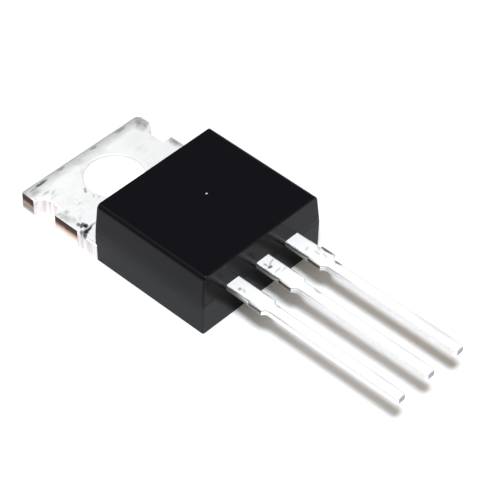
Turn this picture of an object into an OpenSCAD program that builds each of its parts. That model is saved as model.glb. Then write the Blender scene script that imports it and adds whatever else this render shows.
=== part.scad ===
// Power transistor in a TO-220 case, lying on its back, in millimetres.
// The origin is on the axis of the mounting hole, in the plane of the bare back face.
// X runs across the width, the leads point along -Y, the mounting tab along +Y, and Z is up.

/* [Case] */
// Width of the body at its parting plane, and of the tab across its cut tie bars
case_w = 10.15; // [9.6:0.05:10.6]

/* [Mounting tab] */
// Thickness of the tab and of the header under the body
tab_t = 1.3; // [1.0:0.05:1.5]
// Mounting hole
hole_d = 3.84; // [3.5:0.02:4.2]
// From the hole's axis to the far end of the tab
hole_to_end = 3.08; // [2.7:0.02:3.4]
// Round of the two end corners, seen from above
tab_corner = 0.32; // [0.1:0.02:0.6]
// Rolled top edge along the end of the tab
end_roll = 0.28; // [0.1:0.02:0.5]
// Rolled top edge along the sides of the tab
side_roll = 0.14; // [0.05:0.01:0.3]
// Depth of the side notches, which is also the radius of their round end
notch_depth = 0.8; // [0.3:0.05:1.2]
// From the hole's axis to the centre of a notch's round end
notch_centre = 1.15; // [0.6:0.05:1.3]
// From that centre to the square end of the notch
notch_len = 1.12; // [0.6:0.02:1.6]
// How far the sheared tie bars stand out of the sides
tie_out = 0.06; // [0.02:0.01:0.15]
// Length of the sheared tie bar between the notch and the body
tie_len = 2.0; // [1.2:0.05:2.4]
// Length of the sheared tie bar at the end of the tab
end_tie_len = 0.78; // [0.5:0.02:0.9]
// From the body to the groove across the tab
groove_gap = 1.25; // [0.8:0.05:1.5]
// Width of that groove
groove_w = 0.2; // [0.1:0.02:0.3]
// Depth of that groove
groove_depth = 0.07; // [0.03:0.01:0.15]

/* [Moulded body] */
// Length at the parting plane
body_l = 9.1; // [8.8:0.05:9.8]
// Height of the top over the back face
body_h = 4.5; // [4.2:0.05:4.8]
// From the hole's axis to the wall of the body over the tab
hole_to_body = 3.52; // [3.3:0.02:4.2]
// How far each long side leans in at the top
side_lean = 0.22; // [0.1:0.01:0.4]
// How far the lead end leans in at the top
front_lean = 0.11; // [0.05:0.01:0.3]
// How far the tab end leans in at the top
back_lean = 0.08; // [0.05:0.01:0.3]
// How far the sides lean in again at the back face
foot_lean = 0.03; // [0.03:0.01:0.2]
// Step under the wall on the tab, at the level of the tab's top
back_step = 0.14; // [0.08:0.01:0.3]
// Round along the two long top edges
edge_round = 0.36; // [0.1:0.02:0.5]

/* [Leads] */
// Underside of the leads over the back face, which is also the parting plane
lead_z = 2.28; // [2.2:0.02:2.6]
// Thickness of the leads
lead_t = 0.45; // [0.38:0.01:0.6]
// Spacing of the leads
lead_spacing = 2.54; // [2.4:0.02:2.6]
// Length outside the body
lead_l = 13; // [12.5:0.1:14.3]
// Width of the long thin part
lead_w = 0.8; // [0.6:0.02:1.0]
// Width of the part next to the body
root_w = 1.18; // [1.0:0.02:1.5]
// From the body to the sheared dam bar
root_l = 1.8; // [1.2:0.05:2.2]
// Width across the sheared dam bar
dam_w = 1.28; // [1.1:0.02:1.6]
// Length of the sheared dam bar along the lead
dam_len = 1; // [0.5:0.05:1.3]
// Length of the slope from there to the thin part
dam_slope = 0.24; // [0.1:0.02:0.5]
// Chamfer of the sheared tip
tip_chamfer = 0.14; // [0.05:0.01:0.3]

/* [Header inside the body] */
// Moulding on each side of the bare back of the header
header_side = 1.0; // [0.8:0.05:1.3]
// How far the upper half of its edge reaches out, to lock the moulding
lock_step = 0.3; // [0.15:0.05:0.4]
// Moulding between the end of the header and the lead end of the body
header_end = 1.75; // [1.5:0.05:2.2]
// Width of the middle lead where it steps down to the header
neck_w = 1.7; // [1.4:0.1:2.0]
// Level run of each lead inside the body
inner_run = 0.7; // [0.5:0.05:0.8]

/* [Bond posts] */
// How far a post reaches beyond the outer side of its lead
post_side = 0.42; // [0.2:0.02:0.6]
// Length of a post
post_l = 1.5; // [1.2:0.05:1.8]
// Clear gap between a post and the middle lead
post_gap = 0.4; // [0.25:0.05:0.5]
// Corner chamfer of a post
post_chamfer = 0.25; // [0.1:0.05:0.4]

/* [Die and wires] */
// Side of the square silicon die
die_side = 2.9; // [2.2:0.1:3.4]
// Thickness of the die
die_t = 0.26; // [0.2:0.02:0.4]
// Thickness of the solder under it
solder_t = 0.06; // [0.04:0.01:0.1]
// How far the solder shows round the die
solder_rim = 0.12; // [0.05:0.01:0.3]
// From the end of the header at the leads to the die's centre
die_at = 3.3; // [2.8:0.1:3.8]
// Base wire
base_wire_d = 0.2; // [0.15:0.01:0.25]
// Emitter wire
emitter_wire_d = 0.36; // [0.25:0.01:0.4]
// Height of a wire's arch over the straight line between its feet
wire_arch = 0.85; // [0.5:0.05:1.1]

/* [Hidden] */
$fn = 48;
eps = 0.01;
over = 1;
arc_steps = 6;

// Places along Y
body_back = -hole_to_body;
body_front = body_back - body_l;
low_back = body_back - back_step;
header_front = body_front + header_end;
die_y = header_front + die_at;
// Places along Z
lead_top = lead_z + lead_t;
die_base = tab_t + solder_t;
die_top = die_base + die_t;
// Lean of the long sides in degrees
lean_angle = atan(side_lean / (body_h - lead_z));
// Width of the bare back of the header
header_w = case_w - 2 * header_side;
// Inner and outer edge of a bond post from the middle line
post_in = neck_w / 2 + post_gap;
post_out = lead_spacing + root_w / 2 + post_side;
post_middle = (post_in + post_out) / 2;
post_front = body_front + inner_run;

// Colours
tin = [0.86, 0.86, 0.85];
epoxy = [0.10, 0.10, 0.12];

// Points of a quarter-like arc, from one angle to another
function arc(cx, cy, r, from, to) =
    [for (i = [0:arc_steps]) let (t = from + (to - from) * i / arc_steps) [cx + r * cos(t), cy + r * sin(t)]];
function mirrored(points) = [for (i = [len(points) - 1:-1:0]) [-points[i][0], points[i][1]]];

// A profile drawn in Y and Z, extruded across the whole width
module across(width) {
    rotate([90, 0, 90]) linear_extrude(width, center = true) children();
}

// A profile drawn in X and Z, extruded along Y from one place to another
module along(from, to) {
    translate([0, to, 0]) rotate([90, 0, 0]) linear_extrude(to - from) children();
}

// Plan of the tab outside the body: end corners, tie bars and side notches
module tab_plan() {
    side = case_w / 2 - tie_out;
    tie_end = notch_centre - notch_len;
    difference() {
        union() {
            translate([-side, low_back]) square([2 * side, hole_to_end - low_back - tab_corner]);
            translate([-side + tab_corner, low_back]) square([2 * (side - tab_corner), hole_to_end - low_back]);
            for (s = [-1, 1]) translate([s * (side - tab_corner), hole_to_end - tab_corner]) circle(tab_corner);
            translate([-case_w / 2, tie_end - tie_len]) square([case_w, tie_len]);
            translate([-case_w / 2, hole_to_end - tab_corner - end_tie_len]) square([case_w, end_tie_len]);
        }
        for (s = [-1, 1]) {
            translate([s * case_w / 2, notch_centre]) circle(notch_depth);
            translate([s * case_w / 2 - notch_depth, tie_end]) square([2 * notch_depth, notch_len]);
        }
    }
}

// Side view of the tab: a rolled end edge and the groove in front of the body
module tab_side_view() {
    groove = body_back + groove_gap;
    polygon(concat(
        [[low_back, 0], [hole_to_end, 0]],
        arc(hole_to_end - end_roll, tab_t - end_roll, end_roll, 0, 90),
        [[groove + groove_w, tab_t], [groove + groove_w / 2, tab_t - groove_depth], [groove, tab_t],
         [low_back, tab_t]]));
}

// End view of the tab: rolled top edges along both sides
module tab_end_view() {
    corner = arc(case_w / 2 - side_roll, tab_t - side_roll, side_roll, 0, 90);
    polygon(concat([[case_w / 2, 0]], corner, mirrored(corner), [[-case_w / 2, 0]]));
}

module tab() {
    difference() {
        intersection() {
            linear_extrude(tab_t) tab_plan();
            across(case_w + over) tab_side_view();
            along(low_back, hole_to_end + over) tab_end_view();
        }
        translate([0, 0, -over]) cylinder(d = hole_d, h = tab_t + 2 * over);
    }
}

// Header under the body: the lower half is narrower, so the moulding grips the edge
module header() {
    half = header_w / 2;
    along(header_front, low_back + eps)
        polygon([[-half, 0], [half, 0], [half, tab_t / 2], [half + lock_step, tab_t / 2 + lock_step / 2],
                 [half + lock_step, tab_t], [-half - lock_step, tab_t],
                 [-half - lock_step, tab_t / 2 + lock_step / 2], [-half, tab_t / 2]]);
}

// Plan of one lead outside the body, round its own middle line, from its inner end to its tip
module lead_plan(inside) {
    half = [for (p = [[root_w, -inside], [root_w, root_l - 0.04], [dam_w, root_l], [dam_w, root_l + dam_len],
                      [lead_w, root_l + dam_len + dam_slope],
                      [lead_w, lead_l - tip_chamfer], [lead_w - 2 * tip_chamfer, lead_l]])
                [p[0] / 2, body_front - p[1]]];
    polygon(concat(half, mirrored(half)));
}

module lead(inside) {
    translate([0, 0, lead_z]) linear_extrude(lead_t) lead_plan(inside);
}

// Where the middle lead steps down inside the body and runs into the header
module lead_step() {
    across(neck_w) polygon([
        [body_front + inner_run - 0.3, lead_z], [post_front, lead_z],
        [header_front, tab_t - lead_t], [header_front + 1, tab_t - lead_t], [header_front + 1, tab_t],
        [header_front + lead_t * 0.6, tab_t], [post_front + lead_t * 0.6, lead_top],
        [body_front + inner_run - 0.3, lead_top]]);
}

module collector_frame() {
    color(tin) {
        tab();
        header();
        lead(inner_run);
        lead_step();
    }
}

// Bond post of an outer lead, a flat flag beside the middle lead
module post_plan() {
    polygon([[post_in, post_front], [post_out, post_front], [post_out, post_front + post_l - post_chamfer],
             [post_out - post_chamfer, post_front + post_l], [post_in + post_chamfer, post_front + post_l],
             [post_in, post_front + post_l - post_chamfer]]);
}

module outer_lead(side) {
    color(tin) {
        translate([side * lead_spacing, 0, 0]) lead(inner_run + eps);
        translate([0, 0, lead_z]) linear_extrude(lead_t) mirror([side < 0 ? 1 : 0, 0]) post_plan();
    }
}

module base_lead() outer_lead(-1);
module emitter_lead() outer_lead(1);

module die_solder() {
    side = die_side + 2 * solder_rim;
    color([0.62, 0.62, 0.64]) translate([-side / 2, die_y - side / 2, tab_t]) cube([side, side, solder_t]);
}

module silicon_die() {
    color([0.30, 0.31, 0.36])
        translate([-die_side / 2, die_y - die_side / 2, die_base]) cube([die_side, die_side, die_t]);
}

// Flat-bottomed foot of a wedge bond, lying along X with its middle at the origin
module bond_foot(d) {
    foot_l = 2.6 * d;
    intersection() {
        translate([-foot_l / 2, 0, 0.1 * d]) rotate([0, 90, 0]) cylinder(d = 1.3 * d, h = foot_l);
        translate([-foot_l, -d, 0]) cube([2 * foot_l, 2 * d, d]);
    }
}

// One bond wire: two feet and a round arch between them, in the upright plane through both ends
module wire(from, to, d) {
    run = norm([to[0] - from[0], to[1] - from[1]]);
    rise = to[2] - from[2];
    heading = atan2(to[1] - from[1], to[0] - from[0]);
    chord = norm([run, rise]);
    r = (chord * chord / 4 + wire_arch * wire_arch) / (2 * wire_arch);
    drop = r - wire_arch;
    tilt = atan2(rise, run);
    cx = run / 2 + drop * sin(tilt);
    cy = rise / 2 - drop * cos(tilt);
    first = atan2(-cy, -cx);
    last = atan2(rise - cy, run - cx);
    color([0.80, 0.80, 0.82]) {
        translate(from) rotate([0, 0, heading]) bond_foot(d);
        translate(to) rotate([0, 0, heading]) bond_foot(d);
        translate([from[0], from[1], from[2] + 0.3 * d]) rotate([90, 0, heading])
            translate([cx, cy, 0]) rotate([0, 0, last])
                rotate_extrude(angle = first - last) translate([r, 0]) circle(d = d);
    }
}

module base_wire()
    wire([-die_side * 0.27, die_y - die_side * 0.25, die_top],
         [-post_middle, post_front + post_l / 2, lead_top], base_wire_d);

module emitter_wire()
    wire([die_side * 0.2, die_y, die_top],
         [post_middle, post_front + post_l / 2, lead_top], emitter_wire_d);

// Outer form of the moulding: a cross section and a side view, each with its own draft
module body_form() {
    top_x = case_w / 2 - (body_h - edge_round - lead_z) * tan(lean_angle) - edge_round / cos(lean_angle);
    right = concat([[case_w / 2 - foot_lean, 0], [case_w / 2, lead_z]],
                   arc(top_x, body_h - edge_round, edge_round, lean_angle, 90));
    intersection() {
        along(body_front - over, body_back + over) polygon(concat(right, mirrored(right)));
        across(case_w + over) polygon([
            [low_back, 0], [low_back, tab_t], [body_back, tab_t], [body_back - back_lean, body_h],
            [body_front + front_lean, body_h], [body_front, lead_z], [body_front + foot_lean, 0]]);
    }
}

module moulded_body() {
    color(epoxy) difference() {
        body_form();
        header();
        for (s = [-1, 0, 1]) translate([s * lead_spacing, 0, 0]) lead(inner_run + eps);
        lead_step();
        base_lead();
        emitter_lead();
        die_solder();
        silicon_die();
        base_wire();
        emitter_wire();
    }
}

collector_frame();
base_lead();
emitter_lead();
die_solder();
silicon_die();
base_wire();
emitter_wire();
moulded_body();
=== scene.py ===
# %% [markdown]
# # A power transistor in a flat moulded case
#
# A strip of copper is stamped and coined into a frame: a thick tab with a screw hole, which runs on as the
# header under the body, and three thin leads. It is plated with tin, the silicon die is soldered to the
# header, wires are bonded to the two outer leads, and black epoxy is moulded round it all. Last, the bars
# that tied the frame's pieces together are sheared off, which leaves small faces of bare copper.
#
# The measured solids come from the imported model. This script dresses them: it makes finer meshes of what
# shows, gives each a material, and sets the part on a white table under a lamp and a camera.

from math import copysign, cos, hypot, pi, radians, sin, sqrt

import bmesh
import bpy
from mathutils import Matrix, Vector
from mathutils.geometry import tessellate_polygon


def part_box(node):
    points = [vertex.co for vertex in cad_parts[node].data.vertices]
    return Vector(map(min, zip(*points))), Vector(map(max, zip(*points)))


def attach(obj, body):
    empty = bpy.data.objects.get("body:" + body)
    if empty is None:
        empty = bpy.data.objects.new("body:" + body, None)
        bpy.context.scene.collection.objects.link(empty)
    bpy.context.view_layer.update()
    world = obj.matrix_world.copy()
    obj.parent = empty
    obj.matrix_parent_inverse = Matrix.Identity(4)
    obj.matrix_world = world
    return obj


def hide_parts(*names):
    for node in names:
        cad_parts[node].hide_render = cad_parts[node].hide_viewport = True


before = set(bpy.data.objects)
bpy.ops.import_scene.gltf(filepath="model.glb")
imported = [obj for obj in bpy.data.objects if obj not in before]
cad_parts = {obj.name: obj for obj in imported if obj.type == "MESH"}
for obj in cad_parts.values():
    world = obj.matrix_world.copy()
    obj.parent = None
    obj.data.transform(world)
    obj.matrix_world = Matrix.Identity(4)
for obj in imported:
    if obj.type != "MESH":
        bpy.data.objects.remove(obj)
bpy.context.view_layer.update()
MM = 0.001
scene = bpy.context.scene
print("nodes:", ", ".join(sorted(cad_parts)))

# %% [markdown]
# ## Sizes
#
# Places are in millimetres in the part's own frame: the origin is on the axis of the screw hole in the
# plane of the back, the leads point along -Y and Z is up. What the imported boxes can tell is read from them,
# so that the meshes stay where the solids are.

# %% Sizes that the solids give
def box_mm(name):
    """Lowest and highest corner of a node, in millimetres."""
    return [[v / MM for v in corner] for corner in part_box(name)]


lead_low, lead_high = box_mm("emitter_lead")
body_low, body_high = box_mm("moulded_body")

CASE_HALF = body_high[0]            # half the width at the parting plane
BODY_TOP = body_high[2]
WALL_Y = body_high[1]               # wall of the body over the tab
FRONT_Y = body_low[1]               # wall that the leads come out of
TIP_Y = lead_low[1]
LEAD_Z, LEAD_TOP = lead_low[2], lead_high[2]
LEAD_T = LEAD_TOP - LEAD_Z
TAB_END = box_mm("collector_frame")[1][1]
print("body front %.2f, wall %.2f, lead tips %.2f, tab end %.2f" % (FRONT_Y, WALL_Y, TIP_Y, TAB_END))

# %% Sizes of the stamping, as drawn for the solids
TAB_T = 1.3
HOLE_R = 1.92
SPACING = 2.54
STEP_Y = WALL_Y - 0.14              # the moulding's step under its wall
HEADER_END = FRONT_Y + 1.75
HEADER_HALF = CASE_HALF - 1.0
LOCK = 0.3
NECK_HALF = 0.85
POST_IN, POST_OUT = 1.25, SPACING + 0.59 + 0.42
POST_FRONT = FRONT_Y + 0.7
POST_L = 1.5
NECK_FRONT = POST_FRONT - 0.3

# %% [markdown]
# ## Small helpers
#
# Colours are written as a designer picks them, in sRGB, and Blender's shaders want linear light, so one
# function turns them. Another adds a node with its settings and links. The steps that come often have a
# short name in a table, so that a calculation reads as one short line.

# %% Colour and node helpers
def srgb(code):
    """A hex colour as linear red, green, blue and alpha."""
    parts = [int(code[i:i + 2], 16) / 255 for i in (1, 3, 5)]
    return [p / 12.92 if p <= 0.04045 else ((p + 0.055) / 1.055) ** 2.4 for p in parts] + [1.0]


# short name: kind of node, its settings, the sockets that the values go to in turn, and the output
SHORT = {
    "RANGE": ("ShaderNodeMapRange", {"interpolation_type": "SMOOTHSTEP"}, (0, 1, 2, 3, 4), 0),
    "BLEND": ("ShaderNodeMix", {"data_type": "RGBA"}, (0, 6, 7), 2),
    "NOISE": ("ShaderNodeTexNoise", {}, ("Vector", "Scale", "Detail", "Roughness"), 0),
    "STRETCH": ("ShaderNodeMapping", {}, ("Vector", "Scale"), 0),
}
for name in ("ADD", "SUBTRACT", "MULTIPLY", "DIVIDE", "MAXIMUM", "ABSOLUTE", "GREATER_THAN"):
    SHORT[name] = ("ShaderNodeMath", {"operation": name}, (0, 1), 0)
for name, sockets, output in (("ADD", (0, 1), 0), ("SUBTRACT", (0, 1), 0), ("SCALE", (0, "Scale"), 0),
                              ("LENGTH", (0,), "Value"), ("DOT_PRODUCT", (0, 1), "Value")):
    SHORT["VECTOR_" + name] = ("ShaderNodeVectorMath", {"operation": name}, sockets, output)


def add(tree, kind, *values, **settings):
    """Adds a node and returns it, or the output of a short name.

    A value is a number, a hex colour or another node's output. It goes to the next socket of the short
    name, or to the socket whose name or number a dict gives."""
    kind, fixed, sockets, output = SHORT.get(kind, (kind, {}, (), None))
    made = tree.nodes.new(kind)
    for name, value in {**fixed, **settings}.items():
        setattr(made, name, value)
    inputs = zip(sockets, values) if sockets else values[0].items() if values else ()
    for key, value in inputs:
        if isinstance(value, bpy.types.NodeSocket):
            tree.links.new(value, made.inputs[key])
        else:
            is_colour = isinstance(value, str) and value.startswith("#")
            made.inputs[key].default_value = srgb(value) if is_colour else value
    return made if output is None else made.outputs[output]


def finish_named(name, **constants):
    """A new material with one Principled shader, whose plain numbers are set on its own sockets."""
    material = bpy.data.materials.new(name)
    material.use_nodes = True
    shader = material.node_tree.nodes["Principled BSDF"]
    for key, value in constants.items():
        shader.inputs[key.replace("_", " ")].default_value = value
    return material, material.node_tree, shader


def dress(shader, **sources):
    """Links each output to the shader's socket of that name."""
    for key, source in sources.items():
        shader.id_data.links.new(source, shader.inputs[key.replace("_", " ")])


def mm_place(tree):
    """Object coordinates in millimetres, so that every pattern's scale can be read as a real size."""
    return add(tree, "VECTOR_SCALE", add(tree, "ShaderNodeTexCoord").outputs["Object"], 1 / MM)


print("short names of nodes:", ", ".join(SHORT))

# %% [markdown]
# ## Marks
#
# Handling leaves dented, smeared and stained spots on soft tin, and some of the dark and grey spots are
# painted shade and painted reflection. Each is a ragged oval at a place on the part.
# A Mapping node of the texture kind centres, turns and scales the coordinates so that the oval becomes a
# ball of radius 1, and the distance from its middle gives a soft mask. The largest of all masks wins.

# %% A mask of ragged marks
def marks(tree, place, spots, height, ragged=0.10, soft=0.45):
    """spots are (x, y, half length, half width, turn in degrees, strength), on the level z = height."""
    wander = add(tree, "ShaderNodeTexNoise", {"Vector": place, "Scale": 6.0, "Detail": 3.0}).outputs[1]
    shift = add(tree, "VECTOR_SCALE", add(tree, "VECTOR_SUBTRACT", wander, (0.5, 0.5, 0.5)), 2 * ragged)
    loose = add(tree, "VECTOR_ADD", place, shift)
    total = None
    for x, y, length, width, turn, strength in spots:
        oval = add(tree, "ShaderNodeMapping",
                   {"Vector": loose, "Location": (x, y, height), "Rotation": (0, 0, radians(turn)),
                    "Scale": (length, width, 0.4)}, vector_type="TEXTURE").outputs[0]
        mask = add(tree, "RANGE", add(tree, "VECTOR_LENGTH", oval), 1.0, soft, 0.0, strength)
        total = mask if total is None else add(tree, "MAXIMUM", total, mask)
    return total


# %% [markdown]
# ## Tin plate
#
# Common name: matt tin plate on stamped copper alloy. It is plated in a bath after the stamping, so it
# follows the rolled strip's faint grain, and it is soft, so it smears where it is handled. The eye sees a
# white metal, a little blurred, with grey clouds and fine streaks. Its crystals are matt on the flat, and
# shine where the punch has rubbed an edge. A metal's IOR stays at the default.

# %% Marks on the tab
# x, y, half length, half width in mm, turn in degrees, strength
# partly real dented spots, partly painted shade: the ovals by the body's wall, at the hole's near rim and
# along the rolled end are painted shade and painted reflection
TAB_DENTS_AND_PAINTED_SHADE = [
    (-4.62, -1.62, 0.22, 0.20, 90, 0.8), (-4.52, -1.80, 0.34, 0.18, 30, 0.9),
    (-4.40, -1.98, 0.26, 0.22, 50, 1.0), (-4.90, -2.25, 0.26, 0.22, 90, 0.8),
    (-4.72, -2.38, 0.36, 0.22, 35, 1.0), (-4.95, -2.52, 0.26, 0.18, 60, 0.9),
    (-4.45, -2.36, 0.30, 0.14, 5, 1.0), (-4.20, -2.26, 0.26, 0.10, 15, 0.9),
    (-3.98, -2.18, 0.24, 0.08, -15, 0.6), (-2.24, 0.28, 0.32, 0.13, 60, 0.60),
    (-2.22, -0.42, 0.20, 0.08, 40, 0.35), (-2.05, -0.72, 0.20, 0.08, 20, 0.30),
    (-3.70, 2.70, 0.70, 0.15, 2, 0.85), (-4.45, 2.62, 0.45, 0.12, 0, 0.40),
    (-1.94, 2.80, 0.40, 0.15, 0, 0.50), (0.83, 2.76, 0.40, 0.15, 0, 0.50),
    (3.20, 2.76, 0.60, 0.16, 0, 0.50), (4.62, 2.60, 0.50, 0.30, 60, 0.25),
    (4.60, 1.75, 0.40, 0.30, 80, 0.15), (4.90, -0.40, 0.80, 0.34, 90, 0.22),
]
# grey patches: some are handling smears, and the strong ones at the far corner are painted reflection of its
# roll
TAB_GREY_PATCHES = [
    (3.20, 1.50, 2.20, 1.20, 20, 0.18), (4.50, 2.40, 1.10, 0.75, 60, 1.00),
    (4.75, 2.20, 1.20, 0.60, 90, 0.90), (4.80, -0.55, 1.00, 0.55, 90, 0.95),
    (-1.20, 1.72, 0.70, 0.16, 45, 0.30), (4.62, 2.05, 0.70, 0.50, 80, 1.00),
    (4.25, 1.90, 0.60, 0.45, 60, 0.70), (-4.55, 2.35, 0.90, 0.45, 0, 0.85),
    (-4.10, 1.85, 0.55, 0.14, 5, 0.85), (-3.70, 1.60, 0.50, 0.12, 25, 0.60),
    (-4.75, -0.60, 0.95, 0.45, 90, 0.70), (-4.40, -0.30, 0.40, 0.24, 30, 0.60),
    (-4.82, -0.05, 0.28, 0.18, 30, 0.80), (-4.55, -1.10, 0.60, 0.26, 80, 0.50),
    (-3.25, -0.30, 0.50, 0.10, 0, 0.55), (-3.90, 1.30, 0.60, 0.20, 10, 0.30),
    (-4.20, -1.30, 0.50, 0.16, 40, 0.40), (-2.00, -2.30, 0.60, 0.14, 20, 0.30),
]
print("tab: %d dents and %d smears" % (len(TAB_DENTS_AND_PAINTED_SHADE), len(TAB_GREY_PATCHES)))

# %% Tin on the tab
MATT_FADE = (0.030, 0.004)          # the flat's matt fades in between these depths under the top
HOLE_RIM = (2.2, 2.4)               # from the hole's axis, where its roll ends


def matt_or_burnished(tree, shader, matt, stains_and_painted_shade, matt_metal, matt_rough, burnished_rough):
    """matt is 1 where the plating's matt crystals stand, and 0 where the punch has rubbed them smooth.

    Where a stain and painted shade cover the metal, nothing of it shines."""
    metal = add(tree, "RANGE", matt, 0.0, 1.0, 1.0, matt_metal)
    metal = add(tree, "MULTIPLY", metal, add(tree, "RANGE", stains_and_painted_shade, 0.0, 0.8, 1.0, 0.0))
    rough = add(tree, "MAXIMUM", add(tree, "RANGE", matt, 0.0, 1.0, burnished_rough, matt_rough), stains_and_painted_shade)
    dress(shader, Metallic=metal, Roughness=rough)


def tin_on_tab():
    material, tree, shader = finish_named("matt_tin_plate_on_copper_tab")
    place = mm_place(tree)
    here = add(tree, "ShaderNodeSeparateXYZ", {0: place}).outputs
    # round the hole the roll is matt too, because it is pressed before the plating
    flat = add(tree, "ShaderNodeCombineXYZ", {0: here[0], 1: here[1]}).outputs[0]
    from_hole = add(tree, "VECTOR_LENGTH", flat)
    at_hole = add(tree, "MULTIPLY", add(tree, "RANGE", from_hole, *HOLE_RIM, 1.0, 0.0),
                  add(tree, "RANGE", here[2], TAB_T - 0.22, TAB_T - 0.12))
    on_top = add(tree, "RANGE", here[2], *(TAB_T - depth for depth in MATT_FADE))
    matt = add(tree, "MAXIMUM", at_hole, on_top)
    dents_and_painted_shade = marks(tree, place, TAB_DENTS_AND_PAINTED_SHADE, TAB_T, ragged=0.07)
    matt_or_burnished(tree, shader, matt, dents_and_painted_shade, 0.30, 0.38, 0.30)
    # a noise's scale is lumps per millimetre
    cloud = add(tree, "RANGE", add(tree, "NOISE", place, 1 / 1.3, 3.0, 0.6), 0.45, 0.70)
    # rolling grain of the strip: streaks about 0.12 mm wide and a few millimetres long, across the tab
    drawn_out = add(tree, "STRETCH", place, (1 / 7, 1.0, 1.0))
    streak = add(tree, "RANGE", add(tree, "NOISE", drawn_out, 1 / 0.16, 3.0), 0.50, 0.72)
    grey = add(tree, "ADD", add(tree, "MULTIPLY", cloud, 0.12), add(tree, "MULTIPLY", streak, 0.09))
    # greyer towards +X, the far side of the tab: painted shade
    grey = add(tree, "ADD", grey, add(tree, "RANGE", here[0], -1.5, 4.5, 0.0, 0.09))
    # the bend of the wide end roll begins so gently that the mesh hardly shows it, so its darker reflection
    # is painted as a grey band: painted reflection
    along = add(tree, "ADD", here[1], add(tree, "MULTIPLY", cloud, 0.10))
    bend = add(tree, "RANGE", along, TAB_END - 1.05, TAB_END - 0.30)
    grey = add(tree, "ADD", grey, add(tree, "MULTIPLY", bend, 0.55))
    # grey patches, partly painted reflection at the far corner
    grey_patches = marks(tree, place, TAB_GREY_PATCHES, TAB_T, ragged=0.20, soft=0.0)
    grey = add(tree, "MAXIMUM", grey, grey_patches)
    colour = add(tree, "BLEND", grey, "#FFFFFE", "#A9AAA8")
    # the punched sides are drawn down in upright lines and show a breath of the copper
    drawn_out = add(tree, "STRETCH", place, (1.0, 1.0, 1 / 12))
    drawn = add(tree, "RANGE", add(tree, "NOISE", drawn_out, 1 / 0.22), 0.40, 0.62)
    drawn = add(tree, "BLEND", drawn, "#E9E1DE", "#C9C4C6")
    side = add(tree, "BLEND", add(tree, "RANGE", from_hole, *HOLE_RIM), "#FFFFFE", drawn)
    colour = add(tree, "BLEND", add(tree, "RANGE", here[2], TAB_T - 0.30, TAB_T - 0.18), side, colour)
    # the dark colour of these ovals is partly painted shade and painted reflection
    colour = add(tree, "BLEND", dents_and_painted_shade, colour, "#20262A")
    relief = add(tree, "SUBTRACT", add(tree, "MULTIPLY", streak, 0.4), dents_and_painted_shade)
    bump = add(tree, "ShaderNodeBump", {"Strength": 0.25, "Distance": 0.02 * MM, "Height": relief})
    dress(shader, Base_Color=colour, Normal=bump.outputs[0])
    return material


# %% Marks on the leads
# partly real dented spots, partly painted shade: the ovals at the dam bar's far edge on the +X lead and under
# the dam bars are painted shade and painted reflection
LEAD_DENTS_AND_PAINTED_SHADE = [
    (-0.23, FRONT_Y - 0.77, 0.20, 0.15, 0, 0.85), (-0.28, FRONT_Y - 0.46, 0.22, 0.10, 90, 0.55),
    (-0.02, FRONT_Y - 0.60, 0.26, 0.09, 30, 0.40), (0.22, FRONT_Y - 0.50, 0.30, 0.09, 10, 0.40),
    (-0.10, FRONT_Y - 1.26, 0.40, 0.08, 5, 0.35), (0.20, FRONT_Y - 1.48, 0.32, 0.08, 10, 0.30),
    (-2.80, FRONT_Y - 0.75, 0.16, 0.14, 0, 0.55), (-2.72, FRONT_Y - 1.02, 0.24, 0.09, 60, 0.35),
    (-2.25, FRONT_Y - 3.32, 0.26, 0.13, 90, 0.32), (2.43, FRONT_Y - 1.28, 0.26, 0.08, 20, 0.35),
    (2.95, FRONT_Y - 1.75, 0.32, 0.12, 60, 0.30), (2.60, FRONT_Y - 1.95, 0.30, 0.12, 80, 0.28),
    (2.75, FRONT_Y - 2.45, 0.34, 0.10, 70, 0.25), (2.86, FRONT_Y - 3.42, 0.38, 0.22, 92, 0.85),
    (3.21, FRONT_Y - 2.26, 0.76, 0.30, 90, 0.90), (0.28, FRONT_Y - 4.07, 0.45, 0.15, 80, 0.38),
    (0.30, FRONT_Y - 11.0, 2.00, 0.13, 90, 0.15), (-2.24, FRONT_Y - 11.4, 1.50, 0.13, 90, 0.15),
    (2.78, FRONT_Y - 10.9, 2.10, 0.20, 90, 0.15), (-1.98, FRONT_Y - 2.16, 0.45, 0.16, 90, 0.25),
    (0.55, FRONT_Y - 2.05, 0.45, 0.14, 90, 0.22),
]
print("leads: %d marks" % len(LEAD_DENTS_AND_PAINTED_SHADE))


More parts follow.
